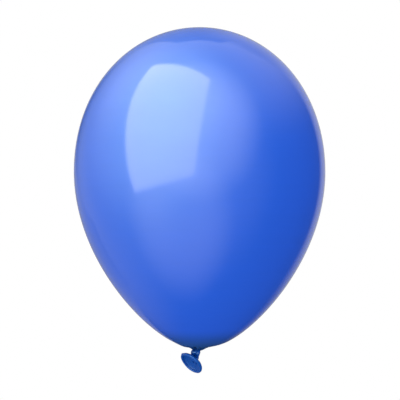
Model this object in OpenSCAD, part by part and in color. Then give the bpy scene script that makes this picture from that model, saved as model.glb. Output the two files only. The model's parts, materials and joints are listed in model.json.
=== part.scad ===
// Inflated and tied latex balloon.
// The origin is the cinched neck, where a ribbon is tied, and +Z runs up towards the crown. The neck
// sits a little off the envelope's own axis, towards -Y, as a hand-tied one does. The tied end hangs
// from three pivots on the Z axis: the cinched neck, the middle of the knot, and the bending point
// behind the mouth. The mouth leans towards -Y.

/* [Envelope] */
// Radius of the inflated envelope at its widest
envelope_r = 115; // [90:1:140]
// Height of the crown above the widest level
crown_h = 132; // [105:1:160]
// Depth of the envelope's closed end below the widest level
base_h = 160; // [130:1:200]
// Wall of the envelope
wall = 0.4; // [0.3:0.1:0.8]
// Radius of the thick spot that dipping leaves at the crown
crown_tip_r = 6; // [4:0.5:9]
// Thickness of that spot
crown_tip_t = 0.9; // [0.6:0.1:1.2]

/* [Gathered neck] */
// Radius at which the envelope starts to gather into the neck
gather_r = 10.3; // [9.5:0.1:12]
// Height of the envelope's closed end above the cinched neck
gather_h = 2.6; // [2.4:0.1:3.2]
// How far the cinched neck sits off the envelope's axis
neck_offset = 4.4; // [2:0.1:5]
// Number of pleats
pleats = 11; // [7:1:13]

/* [Knot] */
// Distance from the cinched neck down to the middle of the knot
knot_drop = 2.6; // [2.5:0.1:3]
// Distance from the cinched neck down to the bending point behind the mouth
tail_drop = 8.4; // [8.2:0.1:9]
// Radius of the strand inside the knot
strand_r = 1.8; // [1.6:0.1:1.9]
// Radius of the knot's turn, to the middle of the latex
turn_r = 2.2; // [2.1:0.1:2.4]
// Half the thickness of the latex in the turn
turn_t = 1.8; // [1.7:0.1:1.9]
// How far the turn sits off the strand, on the mouth's side
turn_offset = 0.8; // [0.5:0.1:0.9]
// Where the tucked strand crosses the turn, in degrees round the knot from +X
tuck_side = -75; // [-110:1:-60]

/* [Tail] */
// How far the mouth leans from straight down, in degrees
mouth_lean = 52.4; // [45:0.1:54]
// Distance from the bending point to the lip
tail_len = 7; // [6.8:0.1:8]
// Radius of the rolled lip, to the middle of the bead
lip_r = 10.4; // [9.5:0.1:11]
// Half the thickness of the rolled bead
bead_t = 1.2; // [1:0.1:1.3]
// Wall of the flared tail
tail_wall = 0.7; // [0.6:0.1:0.8]

/* [Hidden] */
$fn = 64;

stretched = [0.33, 0.53, 0.92];
slack = [0.04, 0.30, 0.66];
shaded = [0.02, 0.24, 0.55];

steps = 40;                          // straight pieces in each half of the outline
gap = 0.15;                          // running gap between pieces that turn against each other
widest_z = gather_h + base_h;
crown_z = widest_z + crown_h;
plug_h = 1.2;                        // how far the pleats stand up inside the envelope
rim_r = 3;                           // radius of the rim that closes round the neck
rim_z = 0.5;                         // level of that rim
pleat_t = 0.8;                       // half the thickness of a pleat at the rim
pleat_end = 0.3;                     // half the thickness of a pleat where it runs out
seat_r = strand_r + gap;             // radius of the hollows round the strand's rounded ends
rod_r = strand_r - 0.3;              // radius of the strand between its rounded ends
tuck_t = 0.9;                        // half the thickness of the tucked strand
collar_r = 2.7;                      // radius of the collar by which the tail leaves the knot
collar_top = knot_drop + 1.4;        // distance from the cinched neck to the collar
collar_end = tail_drop - 2.3;        // distance from the cinched neck to the collar's end
ball_r = 1.7;                        // radius of the rounded end behind the mouth
stem_r = ball_r - 0.4;               // radius of the stem above that end
throat_r = 2.3;                      // radius at which the flare starts
throat_start = 0.9;                  // distance from the bending point to the throat
flare_start = 1.6;                   // distance from the bending point to the flare
throat_floor = 2.6;                  // distance from the bending point to the funnel's floor
fold_r = 1;                          // radius of the curl in the throat
fold_t = 0.55;                       // half its thickness

// A cubic curve through its first and last points, and its direction
function curve(p, t) =
    pow(1 - t, 3) * p[0] + 3 * pow(1 - t, 2) * t * p[1] + 3 * (1 - t) * t * t * p[2] + pow(t, 3) * p[3];
function along(p, t) =
    pow(1 - t, 2) * (p[1] - p[0]) + 2 * (1 - t) * t * (p[2] - p[1]) + t * t * (p[3] - p[2]);
function right_of(v) = [v[1], -v[0]] / norm(v);

// Points on the curve at steps from first to n, moved to the right of the way it runs
function drawn(p, n, depth, first = 0) =
    [for (i = [first : n]) let (t = i / n) curve(p, t) + right_of(along(p, t)) * depth];
function reversed(points) = [for (i = [len(points) - 1 : -1 : 0]) points[i]];

// Half of the envelope's outline, from the crown to the gathered neck
crown_curve = [
    [0, crown_z],
    [0.546 * envelope_r, crown_z],
    [envelope_r, widest_z + 0.587 * crown_h],
    [envelope_r, widest_z]
];
base_curve = [
    [envelope_r, widest_z],
    [envelope_r, widest_z - 0.54 * base_h],
    [gather_r + 0.248 * envelope_r, gather_h],
    [gather_r, gather_h]
];
function outline(depth) = concat(drawn(crown_curve, steps, depth), drawn(base_curve, steps, depth, 1));

module on_axis() translate([0, neck_offset, 0]) children();

module membrane(thickness)
    on_axis() rotate_extrude() polygon(concat(outline(0), reversed(outline(thickness))));

module crown_column() on_axis() translate([0, 0, widest_z]) cylinder(h = crown_h + 10, r = crown_tip_r);

module envelope() color(stretched) difference() {
    membrane(wall);
    crown_column();
}

module crown_tip() color(slack) intersection() {
    membrane(crown_tip_t);
    crown_column();
}

// A pleat from the neck's rim to the edge of the gathered neck, this many degrees round from +X
module pleat(side) {
    across = neck_offset * cos(side);
    reach = neck_offset * sin(side) + sqrt(gather_r * gather_r - across * across) - pleat_end;
    run = reach - rim_r;
    rise = gather_h - rim_z - pleat_t;
    rotate([0, 0, side]) translate([rim_r, 0, rim_z + pleat_t]) rotate([0, 90 - atan2(rise, run), 0])
        cylinder(h = norm([run, rise]), r1 = pleat_t, r2 = pleat_end);
}

// The puckered disc that closes the envelope, hollowed below for the neck's rounded top
module gathered_neck() color(slack) difference() {
    union() {
        on_axis() rotate_extrude() polygon([
            [0, gather_h],
            [gather_r, gather_h],
            [gather_r, gather_h + wall],
            [0, gather_h + plug_h]
        ]);
        translate([0, 0, rim_z]) cylinder(h = gather_h - rim_z + wall, r1 = rim_r, r2 = rim_r + 1.5);
        for (i = [0 : pleats - 1]) pleat((i + 0.5) * 360 / pleats);
    }
    sphere(r = seat_r);
}

module down(distance) translate([0, 0, -distance]) children();

// Places children at the bending point, with their own +Z running out of the mouth
module out_of_the_mouth() down(tail_drop) rotate([180 - mouth_lean, 0, 0]) children();

module ring(r, t) rotate_extrude() translate([r, 0]) circle(r = t);

module turn() down(knot_drop) translate([0, -turn_offset, 0]) ring(turn_r, turn_t);

module neck_strand() color(shaded) {
    sphere(r = strand_r);
    down(knot_drop) cylinder(h = knot_drop, r = rod_r);
    down(knot_drop) sphere(r = strand_r);
}

// The turn that the neck makes round itself, opened upwards so that the strand can tilt in it
module knot_turn() color(slack) difference() {
    turn();
    down(knot_drop) sphere(r = seat_r);
    down(knot_drop) cylinder(h = turn_t + 1, r1 = seat_r - 0.1, r2 = seat_r + 0.8);
}

// The end that is pulled through: a strand over the turn, and the collar by which the tail leaves
module knot_tuck() color(shaded) difference() {
    union() {
        down(collar_end) cylinder(h = collar_end - collar_top, r = collar_r);
        down(knot_drop) translate([0, -turn_offset, 0]) rotate([0, 0, tuck_side]) translate([turn_r, 0, 0])
            rotate([90, 0, 0]) rotate([0, 0, -100]) rotate_extrude(angle = 150)
                translate([turn_t + tuck_t / 2, 0]) circle(r = tuck_t);
    }
    turn();
    down(knot_drop) sphere(r = seat_r + gap);
    down(collar_end + 1) cylinder(h = collar_end, r = stem_r + gap);
}

module tail_neck() color(shaded) {
    down(tail_drop) cylinder(h = tail_drop - knot_drop - seat_r, r = stem_r);
    down(tail_drop) sphere(r = ball_r);
}

// The closed end of the tail, hollowed for the rounded end that it bends on
module tail_throat() color(shaded) out_of_the_mouth() difference() {
    translate([0, 0, throat_start]) {
        cylinder(h = flare_start - throat_start, r = throat_r);
        cylinder(h = throat_floor - throat_start, r = throat_r - tail_wall);
    }
    sphere(r = ball_r + gap);
}

module lip() translate([0, 0, tail_len]) ring(lip_r, bead_t);

module tail_flare() {
    flare_curve = [
        [throat_r, flare_start],
        [throat_r, flare_start + 0.5 * tail_len],
        [0.6 * lip_r, tail_len - 0.4],
        [lip_r, tail_len]
    ];
    walls = concat(drawn(flare_curve, 24, 0), reversed(drawn(flare_curve, 24, -tail_wall)));
    color(slack) out_of_the_mouth() difference() {
        rotate_extrude() polygon(walls);
        lip();
    }
}

// The curl of slack latex on the funnel's floor
module throat_fold() color(shaded) out_of_the_mouth() difference() {
    translate([0, 0, throat_floor + 0.8 * fold_t]) rotate_extrude(angle = 260)
        translate([fold_r, 0]) circle(r = fold_t);
    cylinder(h = throat_floor, r = lip_r);
}

module mouth_lip() color(slack) out_of_the_mouth() lip();

envelope();
crown_tip();
gathered_neck();
neck_strand();
knot_turn();
knot_tuck();
tail_neck();
tail_throat();
tail_flare();
throat_fold();
mouth_lip();
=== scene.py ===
"""An inflated, hand-tied latex balloon: its skins, knot and tail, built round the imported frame."""

import json
import math
import random

import bmesh
import bpy
from bpy.props import FloatProperty, FloatVectorProperty, IntProperty, PointerProperty
from bpy.types import Operator, Panel, PropertyGroup
from mathutils import Matrix, Vector
from mathutils.geometry import interpolate_bezier


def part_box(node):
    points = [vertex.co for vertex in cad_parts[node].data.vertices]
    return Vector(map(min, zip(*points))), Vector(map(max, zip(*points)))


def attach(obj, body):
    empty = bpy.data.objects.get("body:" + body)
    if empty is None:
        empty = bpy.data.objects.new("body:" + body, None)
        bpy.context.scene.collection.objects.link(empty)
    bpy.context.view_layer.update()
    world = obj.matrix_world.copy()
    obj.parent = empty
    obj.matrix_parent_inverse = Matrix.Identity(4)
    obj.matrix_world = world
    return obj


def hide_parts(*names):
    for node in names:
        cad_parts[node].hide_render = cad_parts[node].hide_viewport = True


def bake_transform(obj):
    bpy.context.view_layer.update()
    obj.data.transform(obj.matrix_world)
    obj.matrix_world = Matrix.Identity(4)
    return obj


bl_info = {
    "name": "Latex Balloon",
    "version": (1, 0, 0),
    "blender": (4, 5, 0),
    "location": "3D View > Sidebar > Balloon",
    "description": "Builds an inflated, hand-tied latex balloon and a small studio to show it in",
    "category": "Add Mesh",
}

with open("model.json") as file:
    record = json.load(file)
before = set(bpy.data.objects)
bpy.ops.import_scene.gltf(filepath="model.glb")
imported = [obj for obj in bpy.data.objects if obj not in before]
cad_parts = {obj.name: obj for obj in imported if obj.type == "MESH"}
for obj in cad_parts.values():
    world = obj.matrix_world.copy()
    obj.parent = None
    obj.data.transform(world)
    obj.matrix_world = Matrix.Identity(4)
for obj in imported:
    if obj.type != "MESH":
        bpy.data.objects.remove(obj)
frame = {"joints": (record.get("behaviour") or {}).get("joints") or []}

MM = 0.001
UP = Vector((0, 0, 1))
PIVOTS = {joint["name"]: Vector(joint["pos_m"]) for joint in frame["joints"]}
TIE = PIVOTS["knot_nod"]
KNOT = PIVOTS["knot_swing"]
BEND = PIVOTS["tail_bend"]


def middle(node):
    """The middle of a node's box."""
    low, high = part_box(node)
    return (low + high) / 2


def span(node):
    """The sides of a node's box."""
    low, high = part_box(node)
    return high - low


ENVELOPE_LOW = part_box("envelope")[0]
AXIS = middle("envelope").to_2d().to_3d()
CROWN_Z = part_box("crown_tip")[1].z
MOUTH = middle("mouth_lip")
OUT = (MOUTH - BEND).normalized()


# Sizes and colours ----------------------------------------------------------------------------


class BalloonEnvelopeSettings(PropertyGroup):
    """Shape of the inflated skin"""

    radius: FloatProperty(
        name="Radius", description="Radius at the widest level",
        default=span("envelope").x / 2, unit="LENGTH",
    )
    widest: FloatProperty(
        name="Widest level", description="Height of the widest level, as a share of the skin's height",
        default=0.5479, min=0.4, max=0.7,
    )
    segments: IntProperty(name="Segments", description="Faces round the skin", default=288, min=96)
    crease_depth: FloatProperty(
        name="Crease depth", description="Depth of the creases where the skin gathers",
        default=1.9 * MM, unit="LENGTH",
    )
    crease_reach: FloatProperty(
        name="Crease reach", description="How far from the neck the creases run out",
        default=19 * MM, unit="LENGTH",
    )


class BalloonKnotSettings(PropertyGroup):
    """Shape of the knot"""

    turn_radius: FloatProperty(
        name="Turn radius", description="Radius of the knot's turn, to the middle of the latex",
        default=2.0 * MM, unit="LENGTH",
    )
    strand: FloatProperty(
        name="Strand", description="Half the thickness of the bunched neck in the knot",
        default=2.3 * MM, unit="LENGTH",
    )


class BalloonTailSettings(PropertyGroup):
    """Shape of the tail and its rolled lip"""

    lip_radius: FloatProperty(
        name="Lip radius", description="Radius of the rolled lip, to the middle of the bead",
        default=span("mouth_lip").x / 2 - 0.8 * MM, unit="LENGTH",
    )
    bead: FloatProperty(
        name="Bead", description="Half the thickness of the rolled lip", default=1.25 * MM, unit="LENGTH",
    )
    wall: FloatProperty(
        name="Wall", description="Thickness of the slack latex", default=0.55 * MM, unit="LENGTH",
    )


class BalloonColourSettings(PropertyGroup):
    """Colours of the latex, linear"""

    stretched: FloatVectorProperty(
        name="Stretched", description="Colour of the fully stretched latex",
        subtype="COLOR", size=3, default=(0.003, 0.085, 0.80),
    )
    # The deeper colour of less-stretched latex, darkened further with painted shade under the envelope round
    # the neck
    gathered: FloatVectorProperty(
        name="Gathered", description="Colour of the latex where it draws together at the neck",
        subtype="COLOR", size=3, default=(0.0015, 0.045, 0.22),
    )
    knotted: FloatVectorProperty(
        name="Knotted", description="Colour of the latex bunched up in the knot",
        subtype="COLOR", size=3, default=(0.001, 0.080, 0.46),
    )
    slack: FloatVectorProperty(
        name="Slack", description="Colour of the unstretched latex of the tail",
        subtype="COLOR", size=3, default=(0.001, 0.080, 0.43),
    )


class BalloonStageSettings(PropertyGroup):
    """Camera and light"""

    azimuth: FloatProperty(
        name="Azimuth", description="Where the camera stands round the balloon",
        default=math.radians(50.7), subtype="ANGLE",
    )
    roll: FloatProperty(
        name="Roll", description="Turn of the camera about its own axis",
        default=math.radians(-0.31), subtype="ANGLE",
    )
    lens: FloatProperty(name="Lens", description="Focal length in millimetres", default=135)
    field: FloatProperty(
        name="Field", description="Width of the picture at the balloon", default=0.3670, unit="LENGTH",
    )
    eye_height: FloatProperty(
        name="Eye height", description="Height of the camera above the tied neck",
        default=0.1367, unit="LENGTH",
    )
    window_light: FloatProperty(
        name="Window light", description="Brightness of the window that the skin mirrors", default=7.8,
    )
    tent_light: FloatProperty(
        name="Tent light", description="Brightness of the white tent all round", default=1.17,
    )
    backdrop_light: FloatProperty(
        name="Backdrop light", description="Brightness of the backdrop that the skin's rim mirrors",
        default=0.34,
    )


SETTINGS = {
    "envelope": BalloonEnvelopeSettings,
    "knot": BalloonKnotSettings,
    "tail": BalloonTailSettings,
    "colours": BalloonColourSettings,
    "stage": BalloonStageSettings,
}


class BalloonSettings(PropertyGroup):
    """Everything that a user would change"""

    envelope: PointerProperty(type=BalloonEnvelopeSettings)
    knot: PointerProperty(type=BalloonKnotSettings)
    tail: PointerProperty(type=BalloonTailSettings)
    colours: PointerProperty(type=BalloonColourSettings)
    stage: PointerProperty(type=BalloonStageSettings)


# Mesh helpers ---------------------------------------------------------------------------------


def smoothstep(low, high, value):
    """0 below low, 1 above high, and smooth between."""
    share = min(max((value - low) / (high - low), 0.0), 1.0)
    return share * share * (3 - 2 * share)


def bump(value, width):
    """A bell of height 1 at 0."""
    return math.exp(-((value / width) ** 2))


def turn_between(angle, other):
    """The signed turn from one angle to another, within half a turn."""
    return (angle - other + math.pi) % (2 * math.pi) - math.pi


def cubic(points, count):
    """Points on a cubic curve through its first and last control points."""
    start, near, far, end = (Vector((p[0], p[1], 0)) for p in points)
    return [Vector((p.x, 0, p.y)) for p in interpolate_bezier(start, near, far, end, count)]


def spun(profile, steps, closed=False):
    """A bmesh of a profile in the XZ plane, spun round Z. A closed profile makes a ring."""
    bm = bmesh.new()
    verts = [bm.verts.new(p) for p in profile]
    pairs = list(zip(verts, verts[1:]))
    if closed:
        pairs.append((verts[-1], verts[0]))
    edges = [bm.edges.new(pair) for pair in pairs]
    bmesh.ops.spin(
        bm, geom=verts + edges, cent=(0, 0, 0), axis=(0, 0, 1), dvec=(0, 0, 0),
        angle=math.tau, steps=steps, use_merge=True,
    )
    bmesh.ops.remove_doubles(bm, verts=bm.verts, dist=0.002 * MM)
    bmesh.ops.recalc_face_normals(bm, faces=bm.faces)
    return bm


def swept(path, radius_at, sides):
    """A bmesh of a tube with rounded ends: rings of a given radius along the path's points."""
    bm = bmesh.new()
    rings = []
    last = len(path) - 1
    up = Vector((0.31, 0.17, 0.93))
    for i, point in enumerate(path):
        along = (path[min(i + 1, last)] - path[max(i - 1, 0)]).normalized()
        across = along.cross(up).normalized()
        up = across.cross(along).normalized()
        turn = Matrix((across, up, along)).transposed().to_4x4()
        made = bmesh.ops.create_circle(
            bm, segments=sides, radius=radius_at(i / last), cap_ends=i in (0, last),
            matrix=Matrix.Translation(point) @ turn,
        )
        rings.append([e for e in bm.edges if all(v in made["verts"] for v in e.verts)])
        if i:
            bmesh.ops.bridge_loops(bm, edges=rings[-2] + rings[-1])
    bmesh.ops.recalc_face_normals(bm, faces=bm.faces)
    return bm


def finished(bm, name, material, stretch=None):
    """Turns a bmesh into a smooth-shaded piece. stretch(co) gives the latex's stretch, 0 to 1."""
    mesh = bpy.data.meshes.new(name)
    bm.to_mesh(mesh)
    bm.free()
    mesh.polygons.foreach_set("use_smooth", [True] * len(mesh.polygons))
    attribute = mesh.attributes.new("stretch", "FLOAT", "POINT")
    attribute.data.foreach_set("value", [stretch(v.co) if stretch else 0.0 for v in mesh.vertices])
    mesh.materials.append(material)
    piece = bpy.data.objects.new(name, mesh)
    bpy.context.scene.collection.objects.link(piece)
    return piece


def out_of_mouth():
    """Turns a shape's own +Z to the way that the mouth faces, at the bending point."""
    turn = UP.rotation_difference(OUT).to_matrix().to_4x4()
    return Matrix.Translation(BEND) @ turn


# Materials ------------------------------------------------------------------------------------


def group_socket(tree, name, way, kind, default=None):
    """Adds a named socket to a node group."""
    socket = tree.interface.new_socket(name=name, in_out=way, socket_type=kind)
    if default is not None:
        socket.default_value = default
    return socket


def math_node(nodes, links, operation, first, second=None):
    """A Math node whose inputs are links or numbers."""
    node = nodes.new("ShaderNodeMath")
    node.operation = operation
    for socket, value in zip(node.inputs, (first, second)):
        if isinstance(value, bpy.types.NodeSocket):
            links.new(value, socket)
        elif value is not None:
            socket.default_value = value
    return node.outputs[0]


def noise_node(nodes, links, vector, scale, detail, roughness=0.5):
    """A Noise Texture on the given coordinates."""
    node = nodes.new("ShaderNodeTexNoise")
    node.inputs["Scale"].default_value = scale
    node.inputs["Detail"].default_value = detail
    node.inputs["Roughness"].default_value = roughness
    links.new(vector, node.inputs["Vector"])
    return node.outputs["Fac"]


def stretched_coordinates(nodes, links, scale):
    """Object coordinates, scaled by a different amount along each axis."""
    place = nodes.new("ShaderNodeTexCoord")
    mapping = nodes.new("ShaderNodeMapping")
    mapping.inputs["Scale"].default_value = scale
    links.new(place.outputs["Object"], mapping.inputs["Vector"])
    return mapping.outputs["Vector"]


def latex_pigment_group():
    """Colour of dyed latex: deep where slack, paler where stretched, with faint dipping bands."""
    tree = bpy.data.node_groups.new("Latex Pigment", "ShaderNodeTree")
    group_socket(tree, "Slack Colour", "INPUT", "NodeSocketColor", (0, 0.1, 0.4, 1))
    group_socket(tree, "Stretched Colour", "INPUT", "NodeSocketColor", (0, 0.1, 0.7, 1))
    group_socket(tree, "Band Strength", "INPUT", "NodeSocketFloat", 0.05)
    group_socket(tree, "Mottle Strength", "INPUT", "NodeSocketFloat", 0.05)
    group_socket(tree, "Colour", "OUTPUT", "NodeSocketColor")
    group_socket(tree, "Gloss", "OUTPUT", "NodeSocketFloat")
    nodes, links = tree.nodes, tree.links
    given = nodes.new("NodeGroupInput")
    result = nodes.new("NodeGroupOutput")
    stretch = nodes.new("ShaderNodeAttribute")
    stretch.attribute_name = "stretch"
    blend = nodes.new("ShaderNodeMix")
    blend.data_type = "RGBA"
    factor, slack, stretched = (s for s in blend.inputs if s.enabled)
    links.new(stretch.outputs["Fac"], factor)
    links.new(given.outputs["Slack Colour"], slack)
    links.new(given.outputs["Stretched Colour"], stretched)
    bands = noise_node(nodes, links, stretched_coordinates(nodes, links, (9, 9, 160)), 1.0, 4, 0.6)
    mottle = noise_node(nodes, links, stretched_coordinates(nodes, links, (60, 60, 60)), 1.0, 3)
    shade = math_node(
        nodes, links, "ADD",
        math_node(nodes, links, "MULTIPLY", math_node(nodes, links, "SUBTRACT", bands, 0.5),
                  given.outputs["Band Strength"]),
        math_node(nodes, links, "MULTIPLY", math_node(nodes, links, "SUBTRACT", mottle, 0.5),
                  given.outputs["Mottle Strength"]),
    )
    tone = nodes.new("ShaderNodeHueSaturation")
    links.new(next(s for s in blend.outputs if s.enabled), tone.inputs["Color"])
    links.new(math_node(nodes, links, "ADD", shade, 1.0), tone.inputs["Value"])
    links.new(tone.outputs["Color"], result.inputs["Colour"])
    gloss = nodes.new("ShaderNodeMapRange")
    gloss.interpolation_type = "SMOOTHSTEP"
    gloss.inputs["From Max"].default_value = 0.7
    gloss.inputs["To Min"].default_value = 0.15
    links.new(stretch.outputs["Fac"], gloss.inputs["Value"])
    links.new(gloss.outputs["Result"], result.inputs["Gloss"])
    return tree


def latex_surface_group():
    """Surface of latex: a fine grain with a slow ripple, and gloss that bloom dulls in patches."""
    tree = bpy.data.node_groups.new("Latex Surface", "ShaderNodeTree")
    group_socket(tree, "Grain Size", "INPUT", "NodeSocketFloat", 2500.0)
    group_socket(tree, "Grain Height", "INPUT", "NodeSocketFloat", 0.00001)
    group_socket(tree, "Ripple Size", "INPUT", "NodeSocketFloat", 40.0)
    group_socket(tree, "Ripple Height", "INPUT", "NodeSocketFloat", 0.0001)
    group_socket(tree, "Roughness", "INPUT", "NodeSocketFloat", 0.4)
    group_socket(tree, "Bloom", "INPUT", "NodeSocketFloat", 0.06)
    group_socket(tree, "Roughness", "OUTPUT", "NodeSocketFloat")
    group_socket(tree, "Normal", "OUTPUT", "NodeSocketVector")
    nodes, links = tree.nodes, tree.links
    given = nodes.new("NodeGroupInput")
    result = nodes.new("NodeGroupOutput")
    place = nodes.new("ShaderNodeTexCoord").outputs["Object"]
    grain = noise_node(nodes, links, place, 1.0, 2)
    ripple = noise_node(nodes, links, place, 1.0, 1)
    for name, fac in (("Grain Size", grain), ("Ripple Size", ripple)):
        links.new(given.outputs[name], fac.node.inputs["Scale"])
    height = math_node(
        nodes, links, "ADD",
        math_node(nodes, links, "MULTIPLY", grain, given.outputs["Grain Height"]),
        math_node(nodes, links, "MULTIPLY", ripple, given.outputs["Ripple Height"]),
    )
    relief = nodes.new("ShaderNodeBump")
    relief.inputs["Distance"].default_value = 1.0
    links.new(height, relief.inputs["Height"])
    bloom = noise_node(nodes, links, stretched_coordinates(nodes, links, (35, 35, 90)), 1.0, 5, 0.65)
    dull = math_node(nodes, links, "MULTIPLY", math_node(nodes, links, "SUBTRACT", bloom, 0.5),
                     given.outputs["Bloom"])
    links.new(math_node(nodes, links, "ADD", dull, given.outputs["Roughness"]), result.inputs["Roughness"])
    links.new(relief.outputs["Normal"], result.inputs["Normal"])
    return tree


LATEX = {
    "stretched_latex": {
        # The envelope's slack end: less-stretched latex, darkened with painted shade near the neck
        "colour": "gathered",
        "pigment": {"Band Strength": 0.07, "Mottle Strength": 0.03},
        "surface": {"Grain Size": 1800.0, "Grain Height": 0.4e-6, "Ripple Size": 45.0, "Ripple Height": 30e-6,
                    "Roughness": 0.65, "Bloom": 0.10},
        "shader": {"IOR": 1.5, "Specular IOR Level": 0.7, "Coat Roughness": 0.10,
                   "Coat IOR": 1.5, "Specular Tint": (0.42, 1.0, 1.0, 1.0)},
    },
    "gathered_latex": {
        "colour": "knotted",
        "pigment": {"Band Strength": 0.0, "Mottle Strength": 0.16},
        "surface": {"Grain Size": 3200.0, "Grain Height": 4e-6, "Ripple Size": 700.0, "Ripple Height": 90e-6,
                    "Roughness": 0.34, "Bloom": 0.12},
        "shader": {"IOR": 1.5, "Specular IOR Level": 0.4, "Coat Weight": 0.3, "Coat Roughness": 0.2,
                   "Coat IOR": 1.5, "Specular Tint": (0.25, 0.8, 1.0, 1.0)},
    },
    "slack_latex": {
        "colour": "slack",
        "pigment": {"Band Strength": 0.0, "Mottle Strength": 0.12},
        "surface": {"Grain Size": 3200.0, "Grain Height": 3e-6, "Ripple Size": 420.0, "Ripple Height": 60e-6,
                    "Roughness": 0.40, "Bloom": 0.12},
        "shader": {"IOR": 1.5, "Specular IOR Level": 0.2, "Coat Weight": 0.22, "Coat Roughness": 0.24,
                   "Coat IOR": 1.5, "Specular Tint": (0.25, 0.8, 1.0, 1.0)},
    },
}


def node_group(name, build):
    """A shared node group, built the first time that it is asked for."""
    return bpy.data.node_groups.get(name) or build()


def latex(slot):
    """The latex of one material slot."""
    name = slot + "_finish"
    found = bpy.data.materials.get(name)
    if found:
        return found
    values = LATEX[slot]
    colours = bpy.context.scene.balloon.colours
    material = bpy.data.materials.new(name)
    material.use_nodes = True
    nodes, links = material.node_tree.nodes, material.node_tree.links
    shader = nodes["Principled BSDF"]
    pigment = nodes.new("ShaderNodeGroup")
    pigment.node_tree = node_group("Latex Pigment", latex_pigment_group)
    # For the envelope this is the gathered colour, which holds painted shade at the neck
    pigment.inputs["Slack Colour"].default_value = (*getattr(colours, values["colour"]), 1)
    pigment.inputs["Stretched Colour"].default_value = (*colours.stretched, 1)
    surface = nodes.new("ShaderNodeGroup")
    surface.node_tree = node_group("Latex Surface", latex_surface_group)
    for node, key in ((pigment, "pigment"), (surface, "surface"), (shader, "shader")):
        for name, value in values[key].items():
            node.inputs[name].default_value = value
    links.new(pigment.outputs["Colour"], shader.inputs["Base Color"])
    if slot == "stretched_latex":
        links.new(pigment.outputs["Gloss"], shader.inputs["Coat Weight"])
    links.new(surface.outputs["Roughness"], shader.inputs["Roughness"])
    links.new(surface.outputs["Normal"], shader.inputs["Normal"])
    return material


# The envelope ---------------------------------------------------------------------------------

# Directions of the creases round the neck, in degrees, with each one's share of the full depth
CREASES = (
    (-79, 0.7), (-44, 1.0), (-3, 1.0), (31, 0.6), (66, 0.8), (97, 1.0),
    (124, 0.6), (152, 0.9), (178, 0.7), (-154, 1.0), (-131, 0.6), (-107, 0.9),
)
# Where one pleat hangs lower than the rest
PUCKER = math.radians(48)


def envelope_profile(settings):
    """Half of the skin's outline: crown, widest level, closed end, and the neck inside the knot."""
    radius = settings.radius
    low, high = ENVELOPE_LOW.z, CROWN_Z
    widest = low + (high - low) * settings.widest
    gather = span("gathered_neck").x / 2
    neck = 1.9 * MM
    crown = [(0, high), (0.546 * radius, high), (radius, widest + 0.587 * (high - widest)), (radius, widest)]
    base = [
        (radius, widest), (radius, widest - 0.54 * (widest - low)),
        (gather + 0.248 * radius, low), (gather, low),
    ]
    pucker = [(gather, low), (0.55 * gather, low), (neck + 2.4 * MM, -0.4 * MM), (neck, -1.2 * MM)]
    return (
        cubic(crown, 56) + cubic(base, 90)[1:] + cubic(pucker, 22)[1:]
        + [Vector((0.8 * neck, 0, -2.2 * MM)), Vector((0, 0, -2.6 * MM))]
    )


def gather_skin(bm, settings):
    """Draws the skin's closed end over to the neck and folds it into creases."""
    reach = settings.crease_reach
    for vert in bm.verts:
        co = vert.co
        if co.z > 30 * MM:
            continue
        out = math.hypot(co.x, co.y)
        co.y += (TIE.y - AXIS.y) * (1 - smoothstep(3 * MM, 26 * MM, out))
        pulled = Vector((co.x - TIE.x, co.y - (TIE.y - AXIS.y), 0))
        away = pulled.length
        if away < 0.2 * MM:
            continue
        angle = math.atan2(pulled.y, pulled.x)
        fade = (1 - smoothstep(0.25 * reach, reach, away)) * smoothstep(0, 3 * MM, away)
        width = 0.7 * MM / max(away, 1.6 * MM) + 0.045
        fold = 0.0
        for side, share in CREASES:
            turn = turn_between(angle, math.radians(side) + 0.25 * fade * math.sin(3 * math.radians(side)))
            fold += share * bump(turn, width)
        lobes = 0.35 * math.sin(5 * angle + 0.6) + 0.25 * math.sin(3 * angle - 1.1)
        co.z += settings.crease_depth * fade * (fold - 0.25 + lobes * 0.5)
        co.z -= 1.7 * MM * bump(turn_between(angle, PUCKER), 0.8) * bump(away - 6.5 * MM, 4 * MM)


def skin_stretch_and_neck_shade(co):
    """How far the envelope's latex is stretched: slack at the neck and in the crown's thick spot. Where it is
    low, the skin takes the gathered colour, which holds painted shade round the neck.
    """
    out = (co - AXIS).to_2d().length
    crown = 0.55 + 0.45 * smoothstep(2.5 * MM, 9 * MM, out) if co.z > 0.2 else 1.0
    return crown * smoothstep(0, 22 * MM, co.z)


class BALLOON_OT_envelope(Operator):
    """Builds the inflated skin, from the crown to the neck inside the knot"""

    bl_idname = "balloon.envelope"
    bl_label = "Envelope"

    def execute(self, context):
        settings = context.scene.balloon.envelope
        bm = spun(envelope_profile(settings), settings.segments)
        gather_skin(bm, settings)
        bmesh.ops.translate(bm, verts=bm.verts, vec=AXIS)
        skin = finished(bm, "envelope_skin", latex("stretched_latex"), skin_stretch_and_neck_shade)
        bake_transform(skin)
        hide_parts("envelope", "crown_tip", "gathered_neck")
        return {"FINISHED"}


# The knot -------------------------------------------------------------------------------------

# The side on which the turn is fullest, and the side on which the end is pulled through
FULL_SIDE = math.radians(-129)
TUCK_SIDE = Vector((0.774, -0.633, 0))


def knot_way(across, front, up):
    """A step in millimetres from the knot's middle: across, towards the tucked end's side, and up."""
    return (UP.cross(TUCK_SIDE) * across + TUCK_SIDE * front + UP * up) * MM


def bunch(bm, centre, depth, count, seed):
    """Presses fine lengthwise pleats into a bunched strand."""
    draw = random.Random(seed)
    phases = [draw.uniform(0, math.tau) for _ in range(3)]
    bm.normal_update()
    moves = []
    for vert in bm.verts:
        arm = vert.co - centre
        angle = math.atan2(arm.z, math.hypot(arm.x, arm.y))
        swirl = math.atan2(arm.y, arm.x)
        pleat = math.sin(count * angle + 1.3 * swirl + phases[0])
        pleat += 0.6 * math.sin(1.7 * count * angle - 2.1 * swirl + phases[1])
        pleat += 0.5 * math.sin(4 * swirl + phases[2])
        moves.append((vert, vert.normal * (depth * pleat)))
    for vert, move in moves:
        vert.co += move


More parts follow.
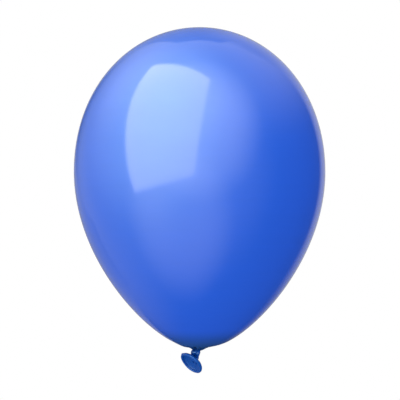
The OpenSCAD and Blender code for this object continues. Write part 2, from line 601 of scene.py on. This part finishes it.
class BALLOON_OT_knot(Operator):
    """Builds the knot: the neck's strand, the turn round it, and the end pulled through"""

    bl_idname = "balloon.knot"
    bl_label = "Knot"

    def strand(self, settings):
        """The bunched neck that runs from the pleats into the knot."""
        top, bottom = TIE + UP * 1.2 * MM, KNOT - UP * 0.6 * MM
        path = [top.lerp(bottom, i / 12) for i in range(13)]
        thick = settings.strand
        bm = swept(path, lambda t: thick * (0.55 + 0.45 * math.sin(math.pi * min(max(t, 0.08), 0.92))), 40)
        piece = finished(bm, "neck_strand_skin", latex("gathered_latex"))
        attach(piece, "neck")
        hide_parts("neck_strand")

    def turn(self, settings):
        """The turn that the neck makes round itself, fuller on the mouth's side."""
        ring = [
            Vector((settings.turn_radius + settings.strand * math.cos(a), 0, settings.strand * math.sin(a)))
            for a in (i * math.tau / 44 for i in range(44))
        ]
        bm = spun(ring, 132, closed=True)
        for vert in bm.verts:
            angle = math.atan2(vert.co.y, vert.co.x)
            core = Vector((math.cos(angle), math.sin(angle), 0)) * settings.turn_radius
            away = turn_between(angle, FULL_SIDE)
            vert.co = core + (vert.co - core) * (0.93 + 0.27 * bump(away, 1.1))
            vert.co.z *= 1.14
            vert.co.z -= 0.35 * MM * math.cos(away)
        bunch(bm, Vector((0, 0, 0)), 0.06 * MM, 6, 4)
        bmesh.ops.translate(bm, verts=bm.verts, vec=KNOT + knot_way(-0.9, 0.1, -0.25))
        piece = finished(bm, "knot_turn_skin", latex("gathered_latex"))
        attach(piece, "knot")
        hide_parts("knot_turn")

    def tuck(self, settings):
        """The end pulled through the turn: over its side, under it and out as the tail's neck."""
        route = [
            (1.0, 0.3, 2.9), (1.5, 2.1, 2.0), (1.35, 3.3, 0.3),
            (0.7, 3.2, -1.7), (-0.1, 1.9, -3.5), (-0.4, 0.5, -4.8),
        ]
        points = [KNOT + knot_way(*p) for p in route]
        path = []
        for a, b, c, d in zip([points[0]] + points, points, points[1:], points[2:] + [points[-1]]):
            near, far = b + (c - a) / 6, c - (d - b) / 6
            path += interpolate_bezier(b, near, far, c, 9)[:-1]
        path.append(points[-1])
        thick = 0.66 * settings.strand
        bm = swept(path, lambda t: thick * (0.5 + 0.5 * smoothstep(0, 0.12, t)) * (1 + 0.3 * t), 36)
        bunch(bm, KNOT, 0.05 * MM, 5, 9)
        piece = finished(bm, "knot_tuck_skin", latex("gathered_latex"))
        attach(piece, "knot")
        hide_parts("knot_tuck")

    def execute(self, context):
        settings = context.scene.balloon.knot
        self.strand(settings)
        self.turn(settings)
        self.tuck(settings)
        return {"FINISHED"}


# The tail -------------------------------------------------------------------------------------

# Where the lip is rolled thickest, and where a finger pulled its ear out
THICK_SIDE = math.radians(25)
EAR = math.radians(117)
# How far the slack lip has slumped from straight out of the neck, in the tail's own directions
SLUMP = Vector((-0.8, 0.8, 0.0)) * MM


def tail_profile(settings):
    """The tail's wall, half its section: out along the cupped back, and in to the throat's floor."""
    lip, wall = settings.lip_radius, settings.wall
    length = (MOUTH - BEND).length
    stem = 2.0 * MM
    cup = (0.84 * lip, 0.60 * length)
    back = (
        cubic([(0, -2.9 * MM), (1.9 * MM, -3.0 * MM), (stem, -1.6 * MM), (stem, 0.3 * MM)], 12)
        + cubic([(stem, 0.3 * MM), (stem, 0.36 * length), (0.5 * lip, 0.37 * length), cup], 20)[1:]
        + cubic([cup, (0.95 * lip, 0.65 * length), (lip, 0.8 * length), (lip, length)], 12)[1:]
    )
    foot = (0.74 * lip, 0.66 * length)
    pit = (3.0 * MM, 0.49 * length)
    inside = (
        cubic([(lip - wall, length), (lip - wall, 0.86 * length), (0.84 * lip, 0.71 * length), foot], 14)
        + cubic([foot, (0.60 * lip, 0.60 * length), (4.6 * MM, 0.5 * length), pit], 12)[1:]
        + cubic([pit, (2.0 * MM, 0.48 * length), (1.0 * MM, 0.47 * length), (0, 0.47 * length)], 10)[1:]
    )
    return back + inside


def lip_wobble(angle):
    """How far the hand-pulled lip strays from a circle, as a share of its radius."""
    slow = 0.022 * math.sin(2 * angle + 0.8) + 0.013 * math.sin(3 * angle - 0.5)
    return slow + 0.008 * math.sin(5 * angle + 2.0)


def slacken(bm, settings):
    """Lets the tail's rim wander, out of round and out of plane, by more the nearer it is to the lip."""
    length = (MOUTH - BEND).length
    for vert in bm.verts:
        co = vert.co
        out = math.hypot(co.x, co.y)
        if out < 1e-6:
            continue
        angle = math.atan2(co.y, co.x)
        share = smoothstep(0.25 * length, length, co.z) * smoothstep(2 * MM, settings.lip_radius, out)
        grow = 1 + share * lip_wobble(angle)
        co.x *= grow
        co.y *= grow
        co.z += share * 0.25 * MM * math.sin(2 * angle - 0.7)
    for vert in bm.verts:
        vert.co += SLUMP * smoothstep(0.2 * length, 0.95 * length, vert.co.z)


def bend_down(bm):
    """Turns the tail's neck from the way the mouth faces to straight down, smoothly."""
    lean = OUT.angle(-UP)
    reach = 2.4 * MM
    down = Vector((0, -math.sin(lean), math.cos(lean)))
    for vert in bm.verts:
        level = vert.co.z
        if level >= reach:
            continue
        share = max((level + reach) / (2 * reach), 0)
        centre = down * (-reach * (1 - share) ** 2) + Vector((0, 0, reach * share ** 2))
        along = down * (1 - share) + Vector((0, 0, share))
        if level < -reach:
            centre += down * (level + reach)
        turned = math.atan2(-along.y, along.z)
        vert.co = centre + Matrix.Rotation(turned, 3, "X") @ Vector((vert.co.x, vert.co.y, 0))


class BALLOON_OT_tail(Operator):
    """Builds the tail: its neck below the knot, the flare, the curl in its throat and the rolled lip"""

    bl_idname = "balloon.tail"
    bl_label = "Tail"

    def stem(self, settings):
        """The neck between the knot and the flare."""
        top, bottom = KNOT - UP * 1.6 * MM, BEND - UP * 0.8 * MM
        lean = knot_way(-0.8, 0.2, 0)
        path = [top.lerp(bottom, i / 18) + lean * (1 - 0.6 * i / 18) for i in range(19)]
        bm = swept(path, lambda t: 2.0 * MM * min(1, 0.6 + 6 * t, 0.6 + 6 * (1 - t)), 40)
        bunch(bm, KNOT, 0.06 * MM, 6, 3)
        piece = finished(bm, "tail_neck_skin", latex("slack_latex"))
        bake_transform(piece)
        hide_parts("tail_neck")

    def flare(self, settings):
        """The funnel from the bending point to the lip."""
        bm = spun(tail_profile(settings), 128)
        slacken(bm, settings)
        bend_down(bm)
        bmesh.ops.transform(bm, matrix=out_of_mouth(), verts=bm.verts)
        piece = finished(bm, "tail_flare_skin", latex("slack_latex"))
        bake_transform(piece)
        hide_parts("tail_flare", "tail_throat")

    def curl(self, settings):
        """The twist of slack latex on the funnel's floor."""
        length = (MOUTH - BEND).length
        aside = Vector((-1.2, -2.0, 0)) * MM
        turns, steps = 0.95, 44
        path = []
        for i in range(steps + 1):
            t = i / steps
            angle = 0.4 + turns * math.tau * t
            out = (3.3 - 1.9 * t) * MM
            level = (0.49 + 0.04 * t) * length
            path.append(Vector((math.cos(angle) * out, math.sin(angle) * out, level)) + aside)
        bm = swept(path, lambda t: (0.85 - 0.2 * t) * MM * min(1, 0.2 + 4 * t, 0.3 + 3 * (1 - t)), 24)
        bmesh.ops.transform(bm, matrix=out_of_mouth(), verts=bm.verts)
        piece = finished(bm, "throat_curl", latex("slack_latex"))
        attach(piece, "tail")
        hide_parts("throat_fold")

    def lip(self, settings):
        """The rolled bead, with the edge of its last turn and the ear where it was pulled."""
        lip, bead = settings.lip_radius, settings.bead
        length = (MOUTH - BEND).length
        count = 48
        ring = []
        for i in range(count):
            angle = i * math.tau / count
            step = 0.13 * MM * (1 - smoothstep(0.0, 0.5, abs(turn_between(angle, 2.5))))
            out = bead - step
            ring.append(Vector((lip + out * math.cos(angle), 0, length + out * math.sin(angle))))
        bm = spun(ring, 180, closed=True)
        for vert in bm.verts:
            angle = math.atan2(vert.co.y, vert.co.x)
            way = Vector((math.cos(angle), math.sin(angle), 0))
            core = way * lip + UP * length
            thick = 1 + 0.2 * math.cos(turn_between(angle, THICK_SIDE)) + 0.035 * math.sin(5 * angle)
            pulled = bump(turn_between(angle, EAR), 0.15)
            vert.co = core + (vert.co - core) * thick + way * pulled * 0.6 * MM + UP * pulled * 0.1 * MM
        slacken(bm, settings)
        bmesh.ops.transform(bm, matrix=out_of_mouth(), verts=bm.verts)
        piece = finished(bm, "lip_bead", latex("slack_latex"))
        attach(piece, "tail")
        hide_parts("mouth_lip")

    def execute(self, context):
        settings = context.scene.balloon.tail
        self.stem(settings)
        self.flare(settings)
        self.curl(settings)
        self.lip(settings)
        return {"FINISHED"}


# The stage ------------------------------------------------------------------------------------

# The studio is a white tent, lit from the left and above. A way is right, towards the camera, and up
LIT = 0.5
SHADED = 0.35
TENT_SIDES = (
    ((-1, 0, 0), LIT), ((0, 0, 1), LIT), ((1, 0, 0), SHADED), ((0, 1, 0), SHADED), ((0, 0, -1), SHADED),
)
# Soft pools that only the gloss mirrors: each one's way, the ends of its soft edge, and its strength
MIRRORED_POOLS = (
    ((-1, 0, 0), 0.2, 0.9, 0.5),
    ((0, 1, 0), 0.2, 0.9, 0.5),
    ((0, 0, 1), 0.2, 0.9, 1.0),
    ((-0.7, 0.5, 0.6), 0.3, 0.95, 1.0),
    ((0, 0.9, 0.6), 0.5, 0.95, 2.0),
    ((-0.3, 0.8, -0.5), 0.6, 0.95, 1.0),
)


def facing(azimuth):
    """The camera's right, and the way from the balloon to the camera."""
    right = Vector((math.cos(azimuth), math.sin(azimuth), 0))
    back = Vector((math.sin(azimuth), -math.cos(azimuth), 0))
    return right, back


def glow(name, strength, edge, fade=0.0):
    """An emissive card's material, soft at its edges and weaker towards its foot."""
    material = bpy.data.materials.new(name)
    material.use_nodes = True
    nodes, links = material.node_tree.nodes, material.node_tree.links
    nodes.remove(nodes["Principled BSDF"])
    shader = nodes.new("ShaderNodeEmission")
    place = nodes.new("ShaderNodeUVMap")
    place.uv_map = "card"
    split = nodes.new("ShaderNodeSeparateXYZ")
    links.new(place.outputs["UV"], split.inputs["Vector"])
    shares = []
    for axis in ("X", "Y"):
        offset = math_node(nodes, links, "SUBTRACT", split.outputs[axis], 0.5)
        from_middle = math_node(nodes, links, "ABSOLUTE", offset)
        inside = nodes.new("ShaderNodeMapRange")
        inside.interpolation_type = "SMOOTHSTEP"
        inside.inputs["From Min"].default_value = 0.5
        inside.inputs["From Max"].default_value = 0.5 - edge
        links.new(from_middle, inside.inputs["Value"])
        shares.append(inside.outputs["Result"])
    risen = math_node(nodes, links, "MULTIPLY", split.outputs["Y"], fade)
    foot = math_node(nodes, links, "ADD", risen, 1 - fade)
    links.new(math_node(nodes, links, "MULTIPLY", foot, strength), shader.inputs["Strength"])
    soft = nodes.new("ShaderNodeMixShader")
    links.new(math_node(nodes, links, "MULTIPLY", *shares), soft.inputs["Fac"])
    links.new(nodes.new("ShaderNodeBsdfTransparent").outputs["BSDF"], soft.inputs[1])
    links.new(shader.outputs["Emission"], soft.inputs[2])
    links.new(soft.outputs["Shader"], nodes["Material Output"].inputs["Surface"])
    return material


def mirrored_only(bm, name, material):
    """A glowing sheet that only the gloss of the latex shows."""
    mesh = bpy.data.meshes.new(name)
    bm.to_mesh(mesh)
    bm.free()
    mesh.materials.append(material)
    obj = bpy.data.objects.new(name, mesh)
    bpy.context.scene.collection.objects.link(obj)
    obj.visible_camera = False
    obj.visible_shadow = False
    obj.visible_diffuse = False


def card(name, centre, across, upward, material):
    """A four-sided light card, square-cornered or skewed."""
    bm = bmesh.new()
    corners = [(-1, -1), (1, -1), (1, 1), (-1, 1)]
    face = bm.faces.new([bm.verts.new(centre + across * (x / 2) + upward * (y / 2)) for x, y in corners])
    layer = bm.loops.layers.uv.new("card")
    for loop, (x, y) in zip(face.loops, corners):
        loop[layer].uv = ((x + 1) / 2, (y + 1) / 2)
    mirrored_only(bm, name, material)


class BALLOON_OT_stage(Operator):
    """Builds the floor, the lights, the background and the camera"""

    bl_idname = "balloon.stage"
    bl_label = "Stage"

    def camera(self, settings):
        right, back = facing(settings.azimuth)
        data = bpy.data.cameras.new("camera")
        data.lens = settings.lens
        data.sensor_width = 36
        camera = bpy.data.objects.new("camera", data)
        bpy.context.scene.collection.objects.link(camera)
        bpy.context.scene.camera = camera
        away = settings.field * settings.lens / data.sensor_width
        target = AXIS + UP * settings.eye_height + right * 0.0002
        camera.location = target + back * away
        turn = (-back).to_track_quat("-Z", "Y").to_matrix() @ Matrix.Rotation(settings.roll, 3, "Z")
        camera.rotation_euler = turn.to_euler()

    def lights(self, settings):
        right, back = facing(settings.azimuth)

        def place(x, y, z):
            return AXIS + right * x + back * y + UP * z

        # The window stands to the camera's left, above the balloon, and leans over towards it, a little askew
        across = (right + back).normalized()
        upward = Matrix.Rotation(math.radians(-27), 3, across) @ UP
        roll = Matrix.Rotation(math.radians(10), 3, across.cross(upward))
        card(
            "window", place(-0.27, 0.45, 0.57), roll @ across * 0.87, roll @ upward * 1.25,
            glow("window_glow", settings.window_light, edge=0.06, fade=0.3),
        )
        # White paper hangs behind the balloon, and is swept out to the left at its foot
        paper = glow("paper_glow", settings.backdrop_light, edge=0.015)
        card("backdrop", place(0, -1.2, 1.4), right * 1.0, UP * 2.3, paper)
        card("backdrop_foot", place(-0.9, -1.21, -0.4), right * 1.8 + UP * 1.1, UP * 1.0, paper)
        card(
            "right_backdrop", place(0.60, -1.19, 0.75), right * 1.22, UP * 3.4,
            glow("right_backdrop_glow", settings.backdrop_light * 1.6, edge=0.3),
        )

    def background(self, settings):
        """A white tent round the balloon, with soft pools of light that the gloss mirrors."""
        right, back = facing(settings.azimuth)
        world = bpy.data.worlds.new("studio")
        world.use_nodes = True
        bpy.context.scene.world = world
        nodes, links = world.node_tree.nodes, world.node_tree.links
        place = nodes.new("ShaderNodeTexCoord")

        def pool(way, low, high, strength, total):
            toward = nodes.new("ShaderNodeVectorMath")
            toward.operation = "DOT_PRODUCT"
            toward.inputs[1].default_value = (right * way[0] + back * way[1] + UP * way[2]).normalized()
            links.new(place.outputs["Generated"], toward.inputs[0])
            soft = nodes.new("ShaderNodeMapRange")
            soft.interpolation_type = "SMOOTHSTEP"
            soft.inputs["From Min"].default_value = low
            soft.inputs["From Max"].default_value = high
            soft.inputs["To Max"].default_value = strength * settings.tent_light
            links.new(toward.outputs["Value"], soft.inputs["Value"])
            part = soft.outputs["Result"]
            return part if total is None else math_node(nodes, links, "ADD", total, part)

        mirrored = tent = None
        for way, low, high, strength in MIRRORED_POOLS:
            mirrored = pool(way, low, high, strength, mirrored)
        for way, strength in TENT_SIDES:
            tent = pool(way, -0.3, 1.0, strength, tent)
        path = nodes.new("ShaderNodeLightPath")
        gloss = math_node(nodes, links, "MULTIPLY", mirrored, path.outputs["Is Glossy Ray"])
        glow_all = math_node(nodes, links, "MULTIPLY", tent, path.outputs["Is Diffuse Ray"])
        shed = math_node(nodes, links, "ADD", gloss, glow_all)
        room = nodes["Background"]
        room.inputs["Color"].default_value = (1, 1, 1, 1)
        total = math_node(nodes, links, "ADD", shed, path.outputs["Is Camera Ray"])
        links.new(total, room.inputs["Strength"])

    def floor(self):
        bm = bmesh.new()
        bmesh.ops.create_circle(bm, cap_ends=True, segments=96, radius=0.6)
        bmesh.ops.translate(bm, verts=bm.verts, vec=AXIS - UP * 0.17)
        material = bpy.data.materials.new("pale_floor")
        material.use_nodes = True
        shader = material.node_tree.nodes["Principled BSDF"]
        shader.inputs["Base Color"].default_value = (0.82, 0.82, 0.82, 1)
        shader.inputs["Roughness"].default_value = 0.8
        mesh = bpy.data.meshes.new("floor")
        bm.to_mesh(mesh)
        bm.free()
        mesh.materials.append(material)
        floor = bpy.data.objects.new("floor", mesh)
        bpy.context.scene.collection.objects.link(floor)
        floor.visible_glossy = False
        floor.visible_diffuse = False

    def execute(self, context):
        settings = context.scene.balloon.stage
        self.camera(settings)
        self.lights(settings)
        self.background(settings)
        self.floor()
        context.scene.view_settings.view_transform = "Standard"
        return {"FINISHED"}


# The add-on -----------------------------------------------------------------------------------

OPERATORS = (BALLOON_OT_stage, BALLOON_OT_envelope, BALLOON_OT_knot, BALLOON_OT_tail)


class BALLOON_PT_panel(Panel):
    """Lists the balloon's sizes, colours and pieces"""

    bl_label = "Latex Balloon"
    bl_idname = "BALLOON_PT_panel"
    bl_space_type = "VIEW_3D"
    bl_region_type = "UI"
    bl_category = "Balloon"

    def draw(self, context):
        layout = self.layout
        for name, group in SETTINGS.items():
            box = layout.box()
            box.label(text=name.capitalize())
            settings = getattr(context.scene.balloon, name)
            for key in group.__annotations__:
                box.prop(settings, key)
        for operator in OPERATORS:
            layout.operator(operator.bl_idname)


CLASSES = (*SETTINGS.values(), BalloonSettings, *OPERATORS, BALLOON_PT_panel)


def register():
    for cls in CLASSES:
        bpy.utils.register_class(cls)
    bpy.types.Scene.balloon = PointerProperty(type=BalloonSettings)


def unregister():
    del bpy.types.Scene.balloon
    for cls in reversed(CLASSES):
        bpy.utils.unregister_class(cls)


def main():
    register()
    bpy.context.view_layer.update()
    bpy.ops.balloon.stage()
    bpy.ops.balloon.envelope()
    bpy.ops.balloon.knot()
    bpy.ops.balloon.tail()


if __name__ == "__main__":
    main()
